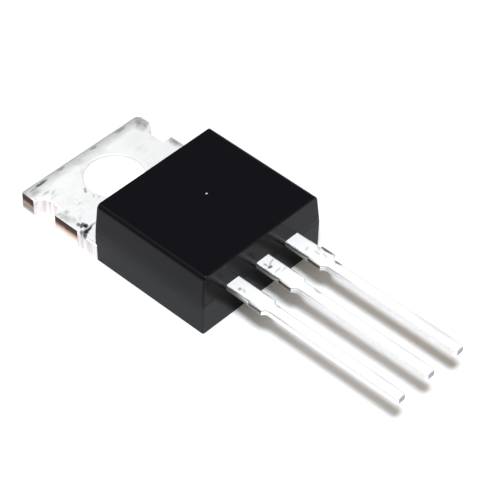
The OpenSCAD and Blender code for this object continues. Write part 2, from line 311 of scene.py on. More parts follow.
# %% Tin on the leads
def tin_on_leads():
    material, tree, shader = finish_named("bright_tin_plate_on_copper_leads")
    place = mm_place(tree)
    here = add(tree, "ShaderNodeSeparateXYZ", {0: place}).outputs
    # the lower half of a root's sides is torn by the punch and then plated matt
    torn = add(tree, "MULTIPLY", add(tree, "RANGE", here[2], LEAD_Z + 0.30, LEAD_Z + 0.18),
               add(tree, "RANGE", here[1], FRONT_Y - 1.9, FRONT_Y - 1.6))
    on_top = add(tree, "RANGE", here[2], *(LEAD_TOP - depth for depth in MATT_FADE))
    # further from the dam bar less and less has rubbed the rolled edges, so they stay matt as the top is
    on_bar = add(tree, "MULTIPLY", add(tree, "RANGE", here[2], LEAD_TOP - 0.14, LEAD_TOP - 0.08),
                 add(tree, "RANGE", here[1], FRONT_Y - 3.0, FRONT_Y - 7.0))
    matt = add(tree, "MAXIMUM", add(tree, "MAXIMUM", torn, on_top), on_bar)
    dents_and_painted_shade = marks(tree, place, LEAD_DENTS_AND_PAINTED_SHADE, LEAD_TOP, ragged=0.08)
    matt_or_burnished(tree, shader, matt, dents_and_painted_shade, 0.04, 0.42, 0.26)
    # draw marks of the stamping run along each lead: 0.08 mm wide, some millimetres long
    drawn_out = add(tree, "STRETCH", place, (1.0, 1 / 9, 1.0))
    streak = add(tree, "RANGE", add(tree, "NOISE", drawn_out, 1 / 0.09), 0.45, 0.72)
    colour = add(tree, "BLEND", add(tree, "MULTIPLY", streak, 0.12), "#FFFFFE", "#D6D6D6")
    # the torn zone is painted darker nearer the body's wall: painted shade
    in_shade = add(tree, "RANGE", here[1], FRONT_Y - 1.9, FRONT_Y)
    colour = add(tree, "BLEND", torn, colour, add(tree, "BLEND", in_shade, "#C8C8C8", "#6C6C6E"))
    # the dark colour of these ovals is partly painted shade and painted reflection
    dress(shader, Base_Color=add(tree, "BLEND", dents_and_painted_shade, colour, "#26292B"))
    return material

# %% [markdown]
# ## Sheared copper
#
# Common name: cut edge of half-hard copper. A punch leaves it in two zones: a smooth burnished band at the
# top and a torn, matt zone below it. Tin never reached it, because the bars are cut after the plating. The
# colours follow the height on the edge: the dark band at the top and the pale foot are painted reflection, of
# the dim low sky and of the white table.

# %% Cut copper, for a strip between two heights
# shares of the edge's height and their colours: the pale to white foot and the dark top band are painted
# reflection
BAR_CUT = [(0.0, "#FFFFFF"), (0.20, "#F6EFEA"), (0.40, "#E0D0C4"), (0.50, "#C2AC9C"), (0.60, "#9A7E6C"),
           (0.70, "#6E4E3A"), (0.80, "#50301E"), (0.92, "#38261A")]
CORNER_CUT = [(0.0, "#E4E1DC"), (0.12, "#B8B2A8"), (0.28, "#8E8776"), (0.45, "#AC9C8C"), (0.56, "#8A7060"),
              (0.65, "#50301E"), (0.82, "#4C2E1C"), (0.93, "#5E4632"), (1.0, "#8C7A60")]
DAM_CUT = [(0.0, "#B0ADA8"), (0.30, "#A5A29C"), (0.52, "#83807A"), (0.66, "#4A483E"), (0.78, "#2A2820"),
           (0.95, "#3A382E")]


def cut_copper(name, low, high, stops, shaded):
    """shaded is how metallic the dark band still is. The dark band's colour is painted reflection."""
    material, tree, shader = finish_named(name, Specular_IOR_Level=0.1)
    place = mm_place(tree)
    level = add(tree, "ShaderNodeSeparateXYZ", {0: place}).outputs[2]
    wave = add(tree, "SUBTRACT", add(tree, "NOISE", place, 1 / 0.4, 3.0), 0.5)
    level = add(tree, "ADD", level, add(tree, "MULTIPLY", wave, 0.16 * (high - low)))
    share = add(tree, "ShaderNodeMapRange", {"Value": level, "From Min": low, "From Max": high}).outputs[0]
    bands = add(tree, "ShaderNodeValToRGB", {"Fac": share})
    for index, (at, code) in enumerate(stops):
        stop = bands.color_ramp.elements[index] if index < 2 else bands.color_ramp.elements.new(at)
        stop.position = at
        stop.color = srgb(code)
    rough = add(tree, "RANGE", share, 0.40, 0.60, 0.55, 0.35)
    metal = add(tree, "RANGE", share, 0.54, 0.64, 1.0, shaded)
    grain = add(tree, "NOISE", add(tree, "STRETCH", place, (1.0, 1.0, 1 / 5)), 1 / 0.06)
    bump = add(tree, "ShaderNodeBump", {"Strength": 0.3, "Distance": 0.02 * MM, "Height": grain})
    dress(shader, Base_Color=bands.outputs[0], Roughness=rough, Metallic=metal, Normal=bump.outputs[0])
    return material


# %% [markdown]
# ## Sheared lead tips
#
# The tips are cut through the plating with a shear that smears tin over the torn copper, so they look like
# dull pewter. Two greys in a fine grain do for them, and for the metals that are sealed in the moulding.

# %% Metals with a fine grain
def grained_metal(name, one, other, size, rough_low, rough_high, detail=2.0, metallic=1.0, **constants):
    material, tree, shader = finish_named(name, Metallic=metallic, **constants)
    grain = add(tree, "NOISE", mm_place(tree), 1 / size, detail)
    dress(shader, Base_Color=add(tree, "BLEND", grain, one, other),
          Roughness=add(tree, "RANGE", grain, 0.2, 0.8, rough_low, rough_high))
    return material


# %% [markdown]
# ## Epoxy
#
# Common name: transfer-moulded epoxy with silica filler and carbon black. The mould's walls are polished, so
# the sides are half glossy and mirror what is near them. The mould's top is spark-eroded, which prints a fine
# pebble grain on the top of the body and makes it matt. The top's base colour is also darker than the walls',
# which is painted shade. The IOR is that of epoxy, 1.55. The grain is about 0.02 mm on the real part and is
# drawn at 0.07 mm here, or no pixel could show it.

# %% Epoxy, top and walls
DUST = [(0.34, -7.63, 0.09, 0.07, 0, 1.0)]


def painted_corner_highlight(tree, place):
    """1 on the upright front corners below the parting plane, and less above it, where a paler colour paints
    a highlight.
    """
    here = add(tree, "ShaderNodeSeparateXYZ", {0: place}).outputs
    rise = add(tree, "MAXIMUM", add(tree, "SUBTRACT", here[2], LEAD_Z), 0.0)
    across = add(tree, "ADD", add(tree, "ABSOLUTE", here[0]), add(tree, "MULTIPLY", rise, 0.10))
    at_side = add(tree, "RANGE", across, CASE_HALF - 0.13, CASE_HALF - 0.05)
    at_front = add(tree, "RANGE", here[1], FRONT_Y + 0.13, FRONT_Y + 0.05)
    low = add(tree, "RANGE", here[2], LEAD_Z - 0.3, LEAD_Z + 0.1, 1.0, 0.25)
    return add(tree, "MULTIPLY", add(tree, "MULTIPLY", at_side, at_front), low)


def epoxy(name, code, specular, rough_low, rough_high, grain_size, grain_height):
    material, tree, shader = finish_named(name, IOR=1.55, Specular_IOR_Level=specular)
    place = mm_place(tree)
    speck = add(tree, "NOISE", place, 1 / grain_size)
    cloud = add(tree, "NOISE", place, 1 / 2.4, 3.0)
    black = add(tree, "BLEND", add(tree, "MULTIPLY", speck, 0.4), code, "#18181E")
    dust = marks(tree, place, DUST, BODY_TOP, ragged=0.01, soft=0.3)
    # paler upright front corners: painted highlight
    black = add(tree, "BLEND", painted_corner_highlight(tree, place), black, "#4A4C54")
    bump = add(tree, "ShaderNodeBump", {"Strength": 0.5, "Distance": grain_height * MM, "Height": speck})
    dress(shader, Base_Color=add(tree, "BLEND", dust, black, "#F4F4F6"), Normal=bump.outputs[0],
          Roughness=add(tree, "RANGE", cloud, 0.3, 0.7, rough_low, rough_high))
    return material


# %% Make every material
TIN_TAB = tin_on_tab()
TIN_LEAD = tin_on_leads()
COPPER_BAR = cut_copper("sheared_copper_of_tab_bars", 0.0, TAB_T, BAR_CUT, 0.15)
COPPER_CORNER = cut_copper("sheared_copper_of_tab_corners_painted_reflection", 0.0, TAB_T, CORNER_CUT, 0.15)
COPPER_DAM = cut_copper("sheared_copper_of_dam_bars", LEAD_Z, LEAD_TOP, DAM_CUT, 1.0)
TIP = grained_metal("tin_smeared_over_sheared_tip", "#94909A", "#C2BEC4", 0.10, 0.40, 0.60, detail=3.0)
# the top's base colour is darker than the walls': painted shade
EPOXY_TOP = epoxy("moulded_epoxy_spark_grain", "#08070C", 0.03, 0.46, 0.56, 0.07, 0.006)
EPOXY_WALL = epoxy("moulded_epoxy_polished_wall", "#0F0F13", 0.115, 0.15, 0.21, 0.12, 0.0008)
SOLDER = grained_metal("soft_solder_reflowed", "#9A9AA0", "#7C7C82", 0.3, 0.40, 0.52)
SILICON = grained_metal("silicon_polished", "#4A4C55", "#3A3C44", 0.8, 0.10, 0.22, metallic=0.0, IOR=3.5)
WIRE = grained_metal("aluminium_wire_drawn", "#D5D5D8", "#B8B8BC", 0.1, 0.30, 0.42)
for node_name, material in (("die_solder", SOLDER), ("silicon_die", SILICON), ("base_wire", WIRE),
                            ("emitter_wire", WIRE)):
    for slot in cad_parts[node_name].material_slots:
        slot.material = material
print("materials:", len(bpy.data.materials))

# %% [markdown]
# ## The stamped plate: tab and header
#
# A stamping is an outline with a thickness, and the punch pulls its top edges into a soft roll. A bevel
# modifier gives one width everywhere, but this roll is wide along the tab's end and narrow along the sides,
# and it varies a little along the end. So each point of the outline carries how far the roll reaches in.

# %% Outline of the plate, with the roll at each point
END_ROLL, NEAR_ROLL, FAR_ROLL, NOTCH_ROLL, TIE_ROLL = 0.36, 0.14, 0.28, 0.05, 0.05
TIE_OUT, NEAR_CORNER, FAR_CORNER = 0.06, 0.12, 0.32
NOTCH_R, NOTCH_Y = 0.8, 1.15
NOTCH_END = NOTCH_Y - 1.12
TIE_START = NOTCH_END - 2.0
SIDE = CASE_HALF - TIE_OUT
HAIR = 0.01                         # keeps three points from falling in one line


def fall_of(roll):
    """How far the punch pulls an edge down. A wide roll is shallow for its width."""
    return roll / (1 + 2.2 * roll)


def edge_point(x, y, in_x, in_y, low=None, fall=None):
    """A point of the outline: x, y, the lower half's x, how far the roll reaches in, how far it falls."""
    low = x if low is None else low
    return x, y, low, in_x, in_y, fall_of(hypot(in_x, in_y)) if fall is None else fall


def half_outline(corner, roll, tie_roll):
    """The +X half, from the header's end to the tab's end."""
    upper, tie_top = HEADER_HALF + LOCK, TAB_END - corner
    inner_x, inner_y = SIDE - roll, TAB_END - END_ROLL - 0.02
    points = [edge_point(upper, HEADER_END, 0.02, -0.02, HEADER_HALF),
              edge_point(upper, STEP_Y + 0.03, 0.02, 0.0, HEADER_HALF), edge_point(SIDE, STEP_Y, roll, 0.0)]
    points += [edge_point(SIDE, STEP_Y + (TIE_START - STEP_Y) * k / 4, roll, 0.0) for k in range(1, 5)]
    points += [edge_point(CASE_HALF, TIE_START + HAIR, tie_roll, 0.0),
               edge_point(CASE_HALF, NOTCH_END - HAIR, tie_roll, NOTCH_ROLL),
               edge_point(CASE_HALF - NOTCH_R, NOTCH_END, NOTCH_ROLL, NOTCH_ROLL)]
    for k in range(15):
        turn = radians(180 - 90 * k / 14)
        c, s = cos(turn), sin(turn)
        points.append(edge_point(CASE_HALF + NOTCH_R * c, NOTCH_Y + NOTCH_R * s,
                                 roll if k == 14 else -NOTCH_ROLL * c, -NOTCH_ROLL * s))
    points.append(edge_point(CASE_HALF, tie_top - HAIR, CASE_HALF - inner_x, tie_top - inner_y,
                             fall=fall_of(roll)))
    for k in range(11):
        turn = radians(90 * k / 10)
        c, s = cos(turn), sin(turn)
        x, y = SIDE - corner + corner * c, tie_top + corner * s
        points.append(edge_point(x, y, x - inner_x + 0.02 * (1 - c), y - inner_y + 0.02 * (1 - s),
                                 fall=fall_of(roll) * c * c + fall_of(END_ROLL) * s * s))
    return points


def plate_outline():
    right = half_outline(FAR_CORNER, FAR_ROLL, FAR_ROLL)
    left = [(-x, y, -low, -in_x, in_y, fall)
            for x, y, low, in_x, in_y, fall in reversed(half_outline(NEAR_CORNER, NEAR_ROLL, TIE_ROLL))]
    start, stop = right[-1][0], left[0][0]
    end = []
    for k in range(1, 40):
        x = start + (stop - start) * k / 40
        # the die wears unevenly, so the roll is a little wider in some places
        reach = END_ROLL * (0.94 + 0.05 * sin(2.1 * x + 0.6) + 0.03 * sin(5.3 * x))
        end.append(edge_point(x, TAB_END, 0.0, reach))
    return right + end + left


print("outline of the plate: %d points" % len(plate_outline()))

# %% [markdown]
# Rings of points are laid round the outline at several levels, and faces join each ring to the next. The
# hole gets rings of its own, and the flats are filled between the outer ring and the hole's.

# %% Rings of the plate
def ring_cap(mesh, outer, inner, up):
    """Fills the flat between an outer ring and the hole's ring of vertices."""
    loops = [outer, inner]
    flat = [v for loop in loops for v in loop]
    for corners in tessellate_polygon([[v.co.copy() for v in loop] for loop in loops]):
        face = mesh.faces.new([flat[i] for i in corners])
        face.normal_update()
        if (face.normal.z > 0) != up:
            face.normal_flip()


def band(mesh, low, high, flip=False):
    """Faces between two rings of as many points. flip turns them over, for the wall of a hole."""
    for i in range(len(low)):
        j = (i + 1) % len(low)
        if flip:
            i, j = j, i
        mesh.faces.new((low[i], low[j], high[j], high[i]))


# section of a punched top edge, from the wall inwards: shares of the roll's reach and of its fall
ROLL_SECTION = [(0.0, 1.0), (0.015, 0.70), (0.07, 0.50), (0.25, 0.31), (0.5, 0.13), (0.75, 0.03), (1.0, 0.0)]
BURR, HOLE_BURR = 0.02, 0.015
HOLE_ROLL, HOLE_ROLL_MORE, HOLE_ROLL_SIDE = 0.13, 0.09, radians(165)


def stamped_plate():
    mesh = bmesh.new()
    rings = []
    outline = plate_outline()
    for inset, z, lower in ((BURR, 0.0, True), (0.0, BURR, True), (0.0, TAB_T / 2, True),
                            (0.0, TAB_T / 2 + LOCK / 2, False)):
        ring = []
        for x, y, low, in_x, in_y, _ in outline:
            reach = hypot(in_x, in_y)
            edge_x = low if lower else x
            ring.append(mesh.verts.new((edge_x - in_x / reach * inset, y - in_y / reach * inset, z)))
        rings.append(ring)
    for part_in, part_down in ROLL_SECTION:
        rings.append([mesh.verts.new((x - in_x * part_in, y - in_y * part_in, TAB_T - fall * part_down))
                      for x, y, _, in_x, in_y, fall in outline])
    for low, high in zip(rings, rings[1:]):
        band(mesh, low, high)
    # the hole is punched from the top too, and its roll is wider where the punch stood nearer to the die
    hole, turns = [], 96
    angles = [2 * pi * i / turns for i in range(turns)]
    for r, z in ((HOLE_R + HOLE_BURR, 0.0), (HOLE_R, HOLE_BURR)):
        hole.append([mesh.verts.new((r * cos(a), r * sin(a), z)) for a in angles])
    for part_in, part_down in ROLL_SECTION:
        ring = []
        for a in angles:
            roll = HOLE_ROLL + HOLE_ROLL_MORE * cos(a - HOLE_ROLL_SIDE)
            r, z = HOLE_R + roll * part_in, TAB_T - fall_of(roll) * part_down
            ring.append(mesh.verts.new((r * cos(a), r * sin(a), z)))
        hole.append(ring)
    for low, high in zip(hole, hole[1:]):
        band(mesh, low, high, flip=True)
    ring_cap(mesh, rings[0], hole[0], up=False)
    ring_cap(mesh, rings[-1], hole[-1], up=True)
    bmesh.ops.remove_doubles(mesh, verts=mesh.verts, dist=0.0005)
    return mesh


# %% [markdown]
# The groove across the tab in front of the body is pressed in. Three cuts are made across the plate, and the
# points on the middle one go down.

# %% Press the groove
GROOVE_Y = (WALL_Y + 1.25, WALL_Y + 1.35, WALL_Y + 1.45)
GROOVE_DEPTH = 0.07
GROOVE_END = 0.17                   # the groove runs out within this depth of the plate's sides


def press_groove(mesh):
    for y in GROOVE_Y:
        everything = mesh.verts[:] + mesh.edges[:] + mesh.faces[:]
        bmesh.ops.bisect_plane(mesh, geom=everything, plane_co=(0, y, 0), plane_no=(0, 1, 0), dist=0.0002)
    for v in mesh.verts:
        height = (v.co.z - TAB_T + GROOVE_END) / GROOVE_END
        if abs(v.co.y - GROOVE_Y[1]) < 0.001 and height > 0:
            v.co.z -= GROOVE_DEPTH * height


plate_mesh = stamped_plate()
press_groove(plate_mesh)
print("plate: %d faces" % len(plate_mesh.faces))

# %% [markdown]
# A mesh becomes an object in two ways. A blank stays in millimetres, to be cut and joined. A finished piece
# is in metres, is smooth except at its sharp edges, and gives each face the number of its finish.

# %% Turn a mesh into a piece
def blank(mesh, name, materials=()):
    """The mesh as an object. In millimetres its numbers are large enough for exact cuts."""
    data = bpy.data.meshes.new(name)
    mesh.to_mesh(data)
    mesh.free()
    for material in materials:
        data.materials.append(material)
    made = bpy.data.objects.new(name, data)
    scene.collection.objects.link(made)
    return made


def finished(mesh, name, materials, pick=None, sharp=35.0):
    """Turns a mesh in millimetres into a piece in metres. pick gives a face its material's number."""
    bmesh.ops.scale(mesh, verts=mesh.verts, vec=(MM, MM, MM))
    mesh.normal_update()
    for face in mesh.faces:
        face.smooth = True
    for edge in mesh.edges:
        if len(edge.link_faces) == 2 and edge.calc_face_angle(0.0) > radians(sharp):
            edge.smooth = False
    if pick:
        for face in mesh.faces:
            face.material_index = pick(face.calc_center_median() / MM, face.normal)
    return blank(mesh, name, materials)

# %% [markdown]
# ## The leads
#
# The three leads are the same stamped bar at three places, so one Geometry Nodes tree makes them. Its input
# is only the bar's middle line. Each point of the line is a station, which carries half the bar's width
# there, how far the bar is off that line, its level, and the depth of the roll. The tree sweeps a small
# rounded section along the line, and then moves each point sideways by what its station says. Moving keeps
# the corner radius, where scaling would squash it. Last, the top edges are pulled down as by the punch.

# %% The tree that sweeps a lead
def lead_tree():
    tree = bpy.data.node_groups.new("swept_stamped_lead", "GeometryNodeTree")
    sockets = {}
    for name, kind, value in (("Geometry", "NodeSocketGeometry", None),
                              ("Thickness", "NodeSocketFloat", LEAD_T * MM),
                              ("Section half width", "NodeSocketFloat", 0.4 * MM),
                              ("Corner radius", "NodeSocketFloat", 0.08 * MM),
                              ("Roll width", "NodeSocketFloat", 0.16 * MM),
                              ("Plating", "NodeSocketMaterial", None)):
        made = tree.interface.new_socket(name=name, in_out="INPUT", socket_type=kind)
        if value is not None:
            made.default_value = value
        sockets[name] = made.identifier
    tree.interface.new_socket(name="Geometry", in_out="OUTPUT", socket_type="NodeSocketGeometry")
    given = add(tree, "NodeGroupInput").outputs
    width = add(tree, "MULTIPLY", given["Section half width"], 2.0)
    section = add(tree, "GeometryNodeCurvePrimitiveQuadrilateral", {0: width, 1: given["Thickness"]})
    corners = {"Curve": section.outputs[0], "Radius": given["Corner radius"], "Count": 3}
    section = add(tree, "GeometryNodeFilletCurve", corners, mode="POLY")
    section = add(tree, "GeometryNodeSubdivideCurve", {"Curve": section.outputs[0], "Cuts": 7})
    line = add(tree, "GeometryNodeMeshToCurve", {0: given["Geometry"]})
    line = add(tree, "GeometryNodeSetCurveNormal", {"Curve": line.outputs[0]}, mode="Z_UP")
    sweep = {"Curve": line.outputs[0], "Profile Curve": section.outputs[0], "Fill Caps": True}
    bar = add(tree, "GeometryNodeCurveToMesh", sweep)
    station = {}
    for name in ("half_width", "off_line", "level", "roll_depth"):
        made = add(tree, "GeometryNodeInputNamedAttribute", {"Name": name}, data_type="FLOAT")
        station[name] = made.outputs[0]
    position = add(tree, "GeometryNodeInputPosition").outputs[0]
    here = add(tree, "ShaderNodeSeparateXYZ", {0: position}).outputs
    across = here[0]
    # points at an edge move in full, and those nearer the middle by their share, so none pass each other
    side = add(tree, "ShaderNodeMapRange", {"Value": across, "From Min": -0.25 * MM, "From Max": 0.25 * MM,
                                            "To Min": -1.0}).outputs[0]
    wider = add(tree, "SUBTRACT", station["half_width"], given["Section half width"])
    slide = add(tree, "ADD", add(tree, "MULTIPLY", side, wider), station["off_line"])
    # the roll: only points above the bar's middle go down, the more the nearer they are to an edge
    edge = add(tree, "ADD", add(tree, "ABSOLUTE", across), wider)
    edge = add(tree, "SUBTRACT", edge, station["half_width"])
    near = add(tree, "DIVIDE", add(tree, "ADD", edge, given["Roll width"]), given["Roll width"])
    near = add(tree, "ShaderNodeMapRange", {"Value": near}, interpolation_type="SMOOTHSTEP").outputs[0]
    above = add(tree, "GREATER_THAN", add(tree, "SUBTRACT", here[2], station["level"]), 0.0)
    fall = add(tree, "MULTIPLY", add(tree, "MULTIPLY", near, above), station["roll_depth"])
    offset = add(tree, "ShaderNodeCombineXYZ", {0: slide, 2: add(tree, "MULTIPLY", fall, -1.0)}).outputs[0]
    moved = add(tree, "GeometryNodeSetPosition", {"Geometry": bar.outputs[0], "Offset": offset})
    real = add(tree, "GeometryNodeRealizeInstances", {0: moved.outputs[0]})
    plating = {"Geometry": real.outputs[0], "Material": given["Plating"]}
    plated = add(tree, "GeometryNodeSetMaterial", plating)
    tree.links.new(plated.outputs[0], add(tree, "NodeGroupOutput").inputs[0])
    return tree, sockets


LEAD_TREE, LEAD_SOCKETS = lead_tree()
print("lead tree: %d nodes" % len(LEAD_TREE.nodes))

# %% [markdown]
# The stations say where the bar is wide and narrow: a wide root at the body, then the stretch where the dam
# bar was sheared off, which stands out a little and has bare copper sides, then a short slope to the thin
# bar. Shearing pulls the metal down more than stamping does, so the roll is deeper there. Inside the body
# the outer leads end in a wide bond post, and the middle lead steps down to the header.

# %% Stations along a lead, as distance from the body's wall and half width
ROOT_HALF, BAR_HALF, DAM_HALF = 0.59, 0.40, 0.64
BAR_ROLL, DAM_ROLL = 0.04, 0.08
DAM = (1.80, 2.80)
FAR_STUB = 0.12
POST_CORNER = 0.25                  # cut off a bond post's inner corners
THIN = DAM[1] + 0.24
LENGTH = FRONT_Y - TIP_Y
OUTSIDE = [(away, ROOT_HALF) for away in (0.3, 0.8, 1.3, DAM[0] - 0.04)]
OUTSIDE += [(DAM[0], DAM_HALF), (DAM[1], DAM_HALF), (THIN, BAR_HALF)]
OUTSIDE += [(THIN + (LENGTH - 0.14 - THIN) * k / 26, BAR_HALF) for k in range(1, 27)]
OUTSIDE += [(LENGTH - 0.06, BAR_HALF - 0.07), (LENGTH, BAR_HALF - 0.14)]
MID_Z = (LEAD_Z + LEAD_TOP) / 2
HEADER_Z = TAB_T - LEAD_T / 2 - 0.08


def stations(side):
    """(y, z, half width, off the line, roll) from the inner end to the tip. side is -1, 0 or 1."""
    if side:
        half, off = (POST_OUT - POST_IN) / 2, side * ((POST_OUT + POST_IN) / 2 - SPACING)
        back = POST_FRONT + POST_L
        inside = [(back, MID_Z, half - POST_CORNER, off), (back - POST_CORNER, MID_Z, half, off),
                  (POST_FRONT + 0.004, MID_Z, half, off), (POST_FRONT, MID_Z, ROOT_HALF, 0.0)]
    else:
        inside = [(HEADER_END + 1.0, HEADER_Z, NECK_HALF, 0.0),
                  (HEADER_END + 0.3, HEADER_Z, NECK_HALF, 0.0), (POST_FRONT, MID_Z, NECK_HALF, 0.0),
                  (NECK_FRONT, MID_Z, NECK_HALF, 0.0), (NECK_FRONT - 0.004, MID_Z, ROOT_HALF, 0.0)]
    # the dam bar is sheared closest between two leads, and a longer stub stays on the strip's outer side
    stub = FAR_STUB if side == 1 else 0.0
    rows = [row + (BAR_ROLL,) for row in inside]
    for away, half in OUTSIDE:
        at_dam = half == DAM_HALF
        spread = stub / 2 if at_dam else 0.0
        rows.append((FRONT_Y - away, MID_Z, half + spread, spread, DAM_ROLL if at_dam else BAR_ROLL))
    return rows


print("stations of the three leads:", [len(stations(side)) for side in (-1, 0, 1)])

# %% [markdown]
# Each lead's line goes into the tree as a mesh of points and edges with the stations' numbers as attributes.
# What the tree makes becomes a plain mesh, and only then is it made into a piece.

# %% Sweep the leads
def swept_lead(name, side):
    rows = stations(side)
    line = bpy.data.meshes.new(name + "_line")
    line.from_pydata([(0, y * MM, z * MM) for y, z, *_ in rows],
                     [(i, i + 1) for i in range(len(rows) - 1)], [])
    for key, column in (("half_width", 2), ("off_line", 3), ("level", 1), ("roll_depth", 4)):
        values = line.attributes.new(key, "FLOAT", "POINT")
        values.data.foreach_set("value", [row[column] * MM for row in rows])
    carrier = bpy.data.objects.new(name + "_line", line)
    scene.collection.objects.link(carrier)
    modifier = carrier.modifiers.new("sweep", "NODES")
    modifier.node_group = LEAD_TREE
    modifier[LEAD_SOCKETS["Plating"]] = TIN_LEAD
    graph = bpy.context.evaluated_depsgraph_get()
    swept = bpy.data.meshes.new_from_object(carrier.evaluated_get(graph))
    mesh = bmesh.new()
    mesh.from_mesh(swept)
    bpy.data.objects.remove(carrier)
    bmesh.ops.translate(mesh, verts=mesh.verts, vec=(side * SPACING * MM, 0, 0))
    bmesh.ops.scale(mesh, verts=mesh.verts, vec=(1 / MM, 1 / MM, 1 / MM))
    bmesh.ops.remove_doubles(mesh, verts=mesh.verts, dist=0.0005)
    bmesh.ops.recalc_face_normals(mesh, faces=mesh.faces)
    return mesh


def lead_face(centre, normal):
    """0 tin, 1 cut copper on the dam bar's ends, 2 smeared tip."""
    across = abs(centre.x - SPACING * round(centre.x / SPACING))
    away = FRONT_Y - centre.y
    if away > LENGTH - 0.001:
        return 2
    if DAM[0] < away < DAM[1] and across > DAM_HALF - 0.012 and abs(normal.x) > 0.6:
        return 1
    return 0


LEAD_FINISHES = [TIN_LEAD, COPPER_DAM, TIP]
base_lead = finished(swept_lead("lead_base", -1), "lead_base", LEAD_FINISHES, lead_face)
emitter_lead = finished(swept_lead("lead_emitter", 1), "lead_emitter", LEAD_FINISHES, lead_face)
middle_lead_mesh = swept_lead("lead_collector", 0)
for piece, node_name in ((base_lead, "base_lead"), (emitter_lead, "emitter_lead")):
    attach(piece, "root")
    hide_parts(node_name)
    size = [[round(c / MM, 3) for c in corner] for corner in
            (Vector(piece.bound_box[0]), Vector(piece.bound_box[6]))]
    print(piece.name, len(piece.data.polygons), "faces", size)

# %% [markdown]
# The middle lead and the plate are one stamping, so they become one mesh: a Boolean union joins the two
# closed skins where the neck meets the header. The exact solver needs clean, closed meshes, so the number of
# open edges is printed after each cut.

# %% Cut and join
def told(thing, step):
    """Prints a mesh's faces, and its edges that don't lie between two faces, which a solid has none of."""
    mesh = bmesh.new()
    mesh.from_mesh(thing.data)
    bmesh.ops.remove_doubles(mesh, verts=mesh.verts, dist=1e-4 * max(thing.dimensions) * 0.01)
    loose = sum(len(edge.link_faces) != 2 for edge in mesh.edges)
    print("%s: %d faces, %d open edges" % (step, len(mesh.faces), loose))
    mesh.free()


def joined(first, second, operation):
    """Adds second to first or takes it away, and drops second."""
    modifier = first.modifiers.new("join", "BOOLEAN")
    modifier.operation = operation
    modifier.solver = "EXACT"
    modifier.object = second
    graph = bpy.context.evaluated_depsgraph_get()
    first.data = bpy.data.meshes.new_from_object(first.evaluated_get(graph))
    first.modifiers.remove(modifier)
    bpy.data.objects.remove(second)


def mesh_of(thing, scale=1.0):
    """A merged copy of an object's mesh. A measured node's own mesh is left alone."""
    mesh = bmesh.new()
    mesh.from_mesh(thing.data)
    bmesh.ops.scale(mesh, verts=mesh.verts, vec=(scale, scale, scale))
    bmesh.ops.remove_doubles(mesh, verts=mesh.verts, dist=1e-4)
    return mesh


# %% Join the middle lead to the plate
def frame_face(centre, normal):
    """Number of a face's material in the list FRAME_FINISHES."""
    if centre.y < FRONT_Y + 0.2:
        return (1, 4, 5)[lead_face(centre, normal)]
    if abs(centre.x) < CASE_HALF - 0.03 or abs(normal.x) < 0.7:
        return 0
    if TIE_START < centre.y < NOTCH_END:
        return 2
    tie_top = TAB_END - (FAR_CORNER if centre.x > 0 else NEAR_CORNER)
    return 3 if NOTCH_Y + NOTCH_R < centre.y < tie_top else 0


FRAME_FINISHES = [TIN_TAB, TIN_LEAD, COPPER_BAR, COPPER_CORNER, COPPER_DAM, TIP]
plate = blank(plate_mesh, "plate_blank")
joined(plate, blank(middle_lead_mesh, "lead_blank"), "UNION")
collector = finished(mesh_of(plate), "frame_tab_and_middle_lead", FRAME_FINISHES, frame_face)
bpy.data.objects.remove(plate)
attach(collector, "root")
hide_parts("collector_frame")
print(collector.name, len(collector.data.polygons), "faces")

# %% [markdown]
# ## The moulded body
#
# The body comes out of a two-part mould, so its walls lean in from the parting plane, which lies level with
# the underside of the leads. It is built as a stack of rings from the back to the top. Each ring is a
# rectangle with four rounded corners, and near the top and at the foot the rings draw in along quarter
# circles: a wide one on the two long top edges, narrow ones elsewhere. At the parting plane the two halves
# never meet perfectly, so a fine bead of flash stands out of the two short walls. On the long walls the
# photograph shows no seam, so there the two leans only blend.

# %% Rings of the body
SIDE_LEAN, FRONT_LEAN, WALL_LEAN, FOOT_LEAN = 0.22, 0.11, 0.08, 0.03
FLASH, FLASH_HALF = 0.012, 0.02
SEAM_BLEND = 0.7
AIR = 0.004                         # hair's gap where the moulding's step lies on the tab
LONG_ROUND, SHORT_ROUND, FOOT_ROUND = 0.36, 0.1, 0.03
FRONT_CORNER, WALL_CORNER = 0.13, 0.07


def drawn_in(depth, radius):
    """How far a wall stands back at some depth below the end of a rounded edge."""
    if depth >= radius:
        return 0.0
    return radius - sqrt(radius ** 2 - (radius - depth) ** 2)


def side_at(z):
    """Half the width at one level. The two leans meet in a soft curve, as this seam is polished away."""
    foot_slope, top_slope = FOOT_LEAN / LEAD_Z, -SIDE_LEAN / (BODY_TOP - LEAD_Z)
    rise = z - LEAD_Z
    if abs(rise) >= SEAM_BLEND:
        return CASE_HALF + rise * (top_slope if rise > 0 else foot_slope)
    blend = (top_slope - foot_slope) * (rise + SEAM_BLEND) ** 2 / (4 * SEAM_BLEND)
    return CASE_HALF + foot_slope * rise + blend


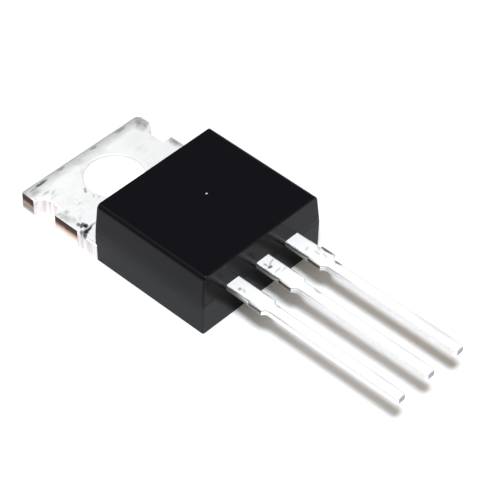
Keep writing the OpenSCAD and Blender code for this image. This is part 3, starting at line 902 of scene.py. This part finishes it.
def body_ring(z, out=0.0):
    """Points round the body at one level, counterclockwise seen from the top."""
    low = max(0.0, (LEAD_Z - z) / LEAD_Z)
    high = max(0.0, (z - LEAD_Z) / (BODY_TOP - LEAD_Z))
    foot = drawn_in(z, FOOT_ROUND)
    short = drawn_in(BODY_TOP - z, SHORT_ROUND) + foot
    x = side_at(z) - drawn_in(BODY_TOP - z, LONG_ROUND) - foot
    front = FRONT_Y + FOOT_LEAN * low + FRONT_LEAN * high + FLASH - out + short
    wall = WALL_Y - WALL_LEAN * max(0.0, z - TAB_T) / (BODY_TOP - TAB_T) + out - short
    points = []
    for cx, cy, radius, start in ((x, front, FRONT_CORNER, -90), (x, wall, WALL_CORNER, 0),
                                  (-x, wall, WALL_CORNER, 90), (-x, front, FRONT_CORNER, 180)):
        for step in range(5):
            angle = radians(start + step * 90 / 4)
            points.append((cx - copysign(radius, cx) + radius * cos(angle),
                           cy + (radius if cy == front else -radius) + radius * sin(angle), z))
    return points


# %% Stack the rings
def body_blank():
    mesh = bmesh.new()
    foot_levels = [FOOT_ROUND * (1 - cos(radians(turn))) for turn in (0, 30, 60, 90)]
    long_levels, top_levels = ([BODY_TOP - radius * (1 - sin(radians(turn))) for turn in turns]
                               for radius, turns in ((LONG_ROUND, (0, 15, 30)),
                                                     (SHORT_ROUND, (0, 22, 45, 68, 90))))
    levels = [(z, 0.0) for z in foot_levels + [TAB_T]]
    levels += [(LEAD_Z - part * SEAM_BLEND, 0.0) for part in (1.0, 0.75, 0.5, 0.25)]
    levels += [(LEAD_Z - FLASH_HALF, 0.0), (LEAD_Z - FLASH_HALF / 2, FLASH),
               (LEAD_Z + FLASH_HALF / 2, FLASH), (LEAD_Z + FLASH_HALF, 0.0)]
    levels += [(LEAD_Z + part * SEAM_BLEND, 0.0) for part in (0.25, 0.5, 0.75, 1.0)]
    levels += [(z, 0.0) for z in long_levels + top_levels]
    rings = [[mesh.verts.new(c) for c in body_ring(*level)] for level in levels]
    for low, high in zip(rings, rings[1:]):
        band(mesh, low, high)
    mesh.faces.new(list(reversed(rings[0])))
    mesh.faces.new(rings[-1])
    return mesh


moulding = blank(body_blank(), "body_blank")
told(moulding, "body blank")

# %% [markdown]
# The frame, the leads, the die and the wires then get their places cut out of the body, because the real
# moulding flows round them. Each metal place is a drawn profile run through the body, in the same sizes as
# the stamping, and the die and wires are cut with merged copies of the measured nodes.

# %% Places of the frame and the leads
def prism(profile, low, high, turn):
    """A profile of (u, v) points run from low to high. turn says how u, v and the run lie in space."""
    mesh = bmesh.new()
    ends = [[mesh.verts.new(turn(u, v, w)) for u, v in profile] for w in (low, high)]
    mesh.faces.new(ends[0])
    mesh.faces.new(list(reversed(ends[1])))
    for i in range(len(profile)):
        j = (i + 1) % len(profile)
        mesh.faces.new((ends[0][i], ends[1][i], ends[1][j], ends[0][j]))
    bmesh.ops.recalc_face_normals(mesh, faces=mesh.faces)
    return blank(mesh, "cutter")


def header_place():
    """The header, run out below the back and past the wall so that the cut is clean."""
    upper = HEADER_HALF + LOCK
    right = [(HEADER_HALF, -1.0), (HEADER_HALF, TAB_T / 2), (upper, TAB_T / 2 + LOCK / 2), (upper, TAB_T)]
    return prism(right + [(-x, z) for x, z in reversed(right)], HEADER_END, STEP_Y + 0.05,
                 lambda u, v, w: (u, w, v))


def outer_lead_place(side):
    """Root and bond post of an outer lead, run out past the front wall."""
    x0, cut, back_end = side * SPACING, POST_CORNER, POST_FRONT + POST_L
    inner, outer = side * POST_IN, side * POST_OUT
    near, far = x0 - side * ROOT_HALF, x0 + side * ROOT_HALF
    plan = [(near, FRONT_Y - 1.0), (near, POST_FRONT), (inner, POST_FRONT), (inner, back_end - cut),
            (inner + side * cut, back_end), (outer - side * cut, back_end), (outer, back_end - cut),
            (outer, POST_FRONT), (far, POST_FRONT), (far, FRONT_Y - 1.0)]
    return prism(plan, LEAD_Z, LEAD_TOP, lambda u, v, w: (u, v, w))


def neck_place():
    """The middle lead's step down to the header, a hair larger than the lead's place."""
    hair, end, bend = 0.002, HEADER_END + 0.6, 0.27
    side_view = [(NECK_FRONT, LEAD_Z - hair), (POST_FRONT, LEAD_Z - hair),
                 (HEADER_END + 0.02, TAB_T - LEAD_T - hair), (end, TAB_T - LEAD_T - hair),
                 (end, TAB_T + hair), (HEADER_END + bend, TAB_T + hair),
                 (POST_FRONT + bend, LEAD_TOP + hair), (NECK_FRONT, LEAD_TOP + hair)]
    return prism(side_view, -NECK_HALF, NECK_HALF, lambda u, v, w: (w, u, v))


def box(x, y, z):
    """A plain box between two values on each axis."""
    plan = [(x[0], y[0]), (x[1], y[0]), (x[1], y[1]), (x[0], y[1])]
    return prism(plan, z[0], z[1], lambda u, v, w: (u, v, w))


# %% Cut them out, and finish the body
def body_face(centre, normal):
    """0 polished wall, 1 spark-eroded top."""
    return 1 if normal.z > 0.93 and centre.z > BODY_TOP - 0.05 else 0


places = [
    (box((-6.0, 6.0), (STEP_Y - AIR, WALL_Y + 1.0), (-1.0, TAB_T + AIR)), "step over the tab"),
    (header_place(), "header"),
    (neck_place(), "neck"),
    (box((-ROOT_HALF, ROOT_HALF), (FRONT_Y - 1.0, POST_FRONT - 0.28), (LEAD_Z, LEAD_TOP)), "middle lead"),
    (outer_lead_place(-1), "base lead"),
    (outer_lead_place(1), "emitter lead"),
]
for place, step in places:
    joined(moulding, place, "DIFFERENCE")
    told(moulding, step + " cut out")
sealed = [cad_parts[name] for name in ("die_solder", "silicon_die", "base_wire", "emitter_wire")]
for source in sealed:
    joined(moulding, blank(mesh_of(source, 1 / MM), "cutter"), "DIFFERENCE")
    told(moulding, source.name + " cut out")
body = finished(mesh_of(moulding), "case_moulding", [EPOXY_WALL, EPOXY_TOP], body_face, sharp=30.0)
bpy.data.objects.remove(moulding)
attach(body, "root")
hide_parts("moulded_body")
print(body.name, len(body.data.polygons), "faces")

# %% [markdown]
# Long thin faces beside small round ones shade wrongly if every face pulls a shared normal equally. The
# Weighted Normal modifier lets the large flat faces win, so that they stay flat to the eye.

# %% Keep the flats flat
for piece in (base_lead, emitter_lead, collector, body):
    flat = piece.modifiers.new("flat faces win", "WEIGHTED_NORMAL")
    flat.keep_sharp = True
    flat.weight = 60

# %% [markdown]
# ## Table, light and sky
#
# The part lies on a white table under one soft lamp, high on the side of the camera. The camera and the
# mirrors see the table white, with its shadows, but it sends only a quarter of its light back to the part,
# because the real one got little from below. The sky's own light is dim and warm and comes from overhead.
# In the metal's mirror the sky is white overhead. Near the horizon it is dim on the camera's side, which
# gives rolled edges their dark lines, and lighter behind the part.

# %% The table
TABLE_SEEN, TABLE_SENDS = (1.08, 1.08, 1.08, 1.0), (0.25, 0.25, 0.25, 1.0)
TABLE_RADIUS = 1.2                  # metres


def table():
    mesh = bmesh.new()
    bmesh.ops.create_circle(mesh, cap_ends=True, segments=64, radius=TABLE_RADIUS)
    material = bpy.data.materials.new("matt_white_paper_sweep")
    material.use_nodes = True
    tree = material.node_tree
    tree.nodes.clear()
    ray = add(tree, "ShaderNodeLightPath").outputs
    seen = add(tree, "MAXIMUM", ray["Is Camera Ray"], ray["Is Transmission Ray"])
    seen = add(tree, "MAXIMUM", seen, ray["Is Glossy Ray"])
    level = add(tree, "BLEND", seen, TABLE_SENDS, TABLE_SEEN)
    matt = add(tree, "ShaderNodeBsdfDiffuse", {"Color": level})
    tree.links.new(matt.outputs[0], add(tree, "ShaderNodeOutputMaterial").inputs[0])
    return blank(mesh, "table", [material])


table()


# %% The sky
BEHIND = (0.42, 0.91, 0.0)          # direction from the camera past the part
LOW_NEAR, LOW_BEHIND = 0.20, 0.75   # light of the low sky, as mirrored, in front of and behind the part
TENT_TOP = (0.34, 0.56)             # heights between which the mirrored sky turns white
SKY_LIGHT = (0.42, 0.365, 0.30, 1.0)


def sky():
    world = bpy.data.worlds.new("studio_tent")
    scene.world = world
    world.use_nodes = True
    tree = world.node_tree
    tree.nodes.clear()
    ray = add(tree, "ShaderNodeLightPath").outputs
    towards = add(tree, "ShaderNodeTexCoord").outputs["Generated"]
    height = add(tree, "ShaderNodeSeparateXYZ", {0: towards}).outputs[2]
    # low down the tent is dim on the camera's side, and lighter behind the part, where the paper rises
    back = add(tree, "VECTOR_DOT_PRODUCT", towards, BEHIND)
    low = add(tree, "RANGE", back, 0.15, 0.60, LOW_NEAR, LOW_BEHIND)
    tent = add(tree, "RANGE", height, *TENT_TOP, low, 1.0)
    mirrored = add(tree, "ShaderNodeBackground", {"Strength": tent})
    overhead = add(tree, "RANGE", height, 0.25, 0.85)
    pick = add(tree, "ShaderNodeBackground", {"Color": SKY_LIGHT, "Strength": overhead})
    plain = add(tree, "ShaderNodeBackground", {"Strength": 1.0})
    for kind, shown in (("Is Glossy Ray", mirrored), ("Is Camera Ray", plain)):
        pick = add(tree, "ShaderNodeMixShader", {0: ray[kind], 1: pick.outputs[0], 2: shown.outputs[0]})
    tree.links.new(pick.outputs[0], add(tree, "ShaderNodeOutputWorld").inputs[0])


sky()


# %% The lamp
def towards_sky(azimuth, elevation):
    """Unit vector from the part, azimuth 0 looking along +Y as the camera's does."""
    a, e = radians(azimuth), radians(elevation)
    return Vector((sin(a) * cos(e), -cos(a) * cos(e), sin(e)))


MIDDLE = Vector((0.0, -11.0, 1.5)) * MM
LAMP_AWAY, LAMP_SIZE, LAMP_WATTS = 1.0, 0.23, 9.5
LAMP_AZIMUTH, LAMP_ELEVATION = -47.0, 66.3
LAMP_COLOUR = (0.873, 0.93, 1.0)    # a little blue, because the sky's light is warm
lamp_data = bpy.data.lights.new("softbox", "AREA")
lamp_data.shape = "DISK"
lamp_data.size = LAMP_SIZE
lamp_data.energy = LAMP_WATTS
lamp_data.color = LAMP_COLOUR
lamp = bpy.data.objects.new("softbox", lamp_data)
lamp_way = towards_sky(LAMP_AZIMUTH, LAMP_ELEVATION)
lamp.location = MIDDLE + lamp_way * LAMP_AWAY
lamp.rotation_euler = lamp_way.to_track_quat("Z", "Y").to_euler()
scene.collection.objects.link(lamp)
print("lamp %.2f m away, %.2f m wide" % (LAMP_AWAY, LAMP_SIZE))

# %% [markdown]
# ## Camera
#
# The camera was fitted to the photograph: its direction, distance, lens and slight roll come from about 60
# points and edges of the part whose real places are known. The lens is long, as for a small thing shot near.

# %% The camera
AZIMUTH, ELEVATION, ROLL = -47.243, 44.670, 1.001
AIM = Vector((3.478, -7.894, -2.331)) * MM
AWAY = 143.17 * MM
FOCAL_PIXELS, IMAGE = 2294.6, 500
AXIS_PIXEL = (-5.43, 0.59)          # where the lens axis meets the image, from its middle, right and down
SENSOR = 36.0

camera_data = bpy.data.cameras.new("camera")
camera_data.sensor_width = SENSOR
camera_data.lens = SENSOR * FOCAL_PIXELS / IMAGE
camera_data.shift_x = -AXIS_PIXEL[0] / IMAGE
camera_data.shift_y = AXIS_PIXEL[1] / IMAGE
camera_data.clip_start = 0.01       # metres
camera = bpy.data.objects.new("camera", camera_data)
back = towards_sky(AZIMUTH, ELEVATION)
camera.location = AIM + back * AWAY
azimuth, turn = radians(AZIMUTH), radians(ROLL)
right = Vector((cos(azimuth), sin(azimuth), 0.0))
up = back.cross(right)
rolled_right = right * cos(turn) + up * sin(turn)
rolled_up = up * cos(turn) - right * sin(turn)
camera.rotation_euler = Matrix((rolled_right, rolled_up, back)).transposed().to_euler()
scene.collection.objects.link(camera)
scene.camera = camera
scene.view_settings.view_transform = "Standard"
print("camera at mm", [round(c / MM, 1) for c in camera.location])
